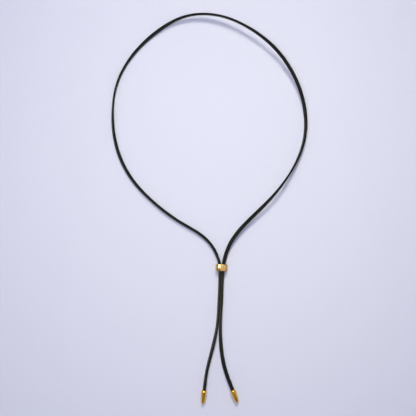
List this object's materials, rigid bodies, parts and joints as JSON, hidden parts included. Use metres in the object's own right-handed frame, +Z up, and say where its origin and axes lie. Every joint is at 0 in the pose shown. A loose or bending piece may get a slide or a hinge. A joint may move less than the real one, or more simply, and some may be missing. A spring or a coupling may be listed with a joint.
{
  "type": "bolo tie",
  "caption": "Bolo tie lying flat: one flat leather lace drawn through an oval metal slide into a neck loop, with a bullet tip on each end.",
  "frame": {"origin": "the middle of the slide's flat underside, on the surface that the bolo tie lies on", "axes": "+Y along the slide's bore towards the neck loop, +X to the right seen from above, +Z up from the surface"},
  "size_m": [0.2097, 0.4166, 0.0112],
  "materials": {
    "cord_leather": "near-black olive leather lace with a fine grain, soft sheen and darker burnished edges",
    "slide_gold": "polished gold plating with fine hairline scratches",
    "tip_gold": "polished, slightly deeper gold plating with turned marks and fine scratches"
  },
  "bodies": {
    "root": {"cord": "cord_leather", "slide": "slide_gold", "tip_left": "tip_gold", "tip_right": "tip_gold"}
  },
  "joints": []
}
